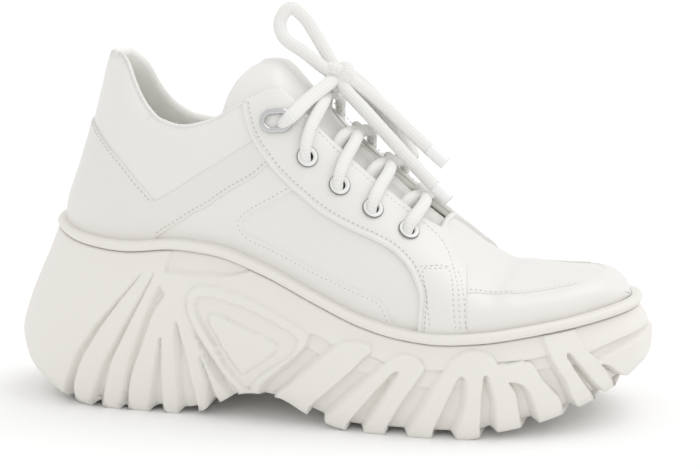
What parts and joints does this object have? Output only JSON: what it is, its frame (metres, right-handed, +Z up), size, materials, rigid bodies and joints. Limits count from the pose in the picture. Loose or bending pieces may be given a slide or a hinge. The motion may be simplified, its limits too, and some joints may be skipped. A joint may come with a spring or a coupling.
{
  "type": "platform sneaker",
  "caption": "Low lace-up sneaker with a leather upper, padded collar and a thick sculpted wedge sole with side ribs and lugs.",
  "frame": {"origin": "on the ground under the middle of the sole", "axes": "+X to the toe, +Y to the inner side of the foot, +Z up"},
  "size_m": [0.292, 0.1148, 0.1819],
  "materials": {
    "leather": "smooth off-white grained leather, satin",
    "sole_rubber": "moulded off-white rubber, matt",
    "lining": "woven off-white lining and insole cover",
    "lace": "braided off-white cotton cord",
    "enamel": "white enamelled eyelets",
    "metal": "polished silver metal"
  },
  "bodies": {
    "root": {"outsole": "sole_rubber", "midsole": "sole_rubber", "insole": "lining", "upper": "leather", "eyestay_outer": "leather", "eyestay_inner": "leather", "heel_counter": "leather", "toe_guard": "leather", "tongue": "leather", "lace_keeper_outer": "metal", "lace_keeper_inner": "metal", "eyelet_outer_1": "enamel", "eyelet_outer_2": "enamel", "eyelet_outer_3": "enamel", "eyelet_outer_4": "enamel", "eyelet_inner_1": "enamel", "eyelet_inner_2": "enamel", "eyelet_inner_3": "enamel", "eyelet_inner_4": "enamel", "lace_cross_1": "lace", "lace_cross_2": "lace", "lace_cross_3": "lace", "lace_cross_4": "lace", "lace_knot": "lace", "lace_loop_standing": "lace", "lace_loop_lying": "lace", "lace_end_near": "lace", "lace_end_far": "lace"}
  },
  "joints": []
}
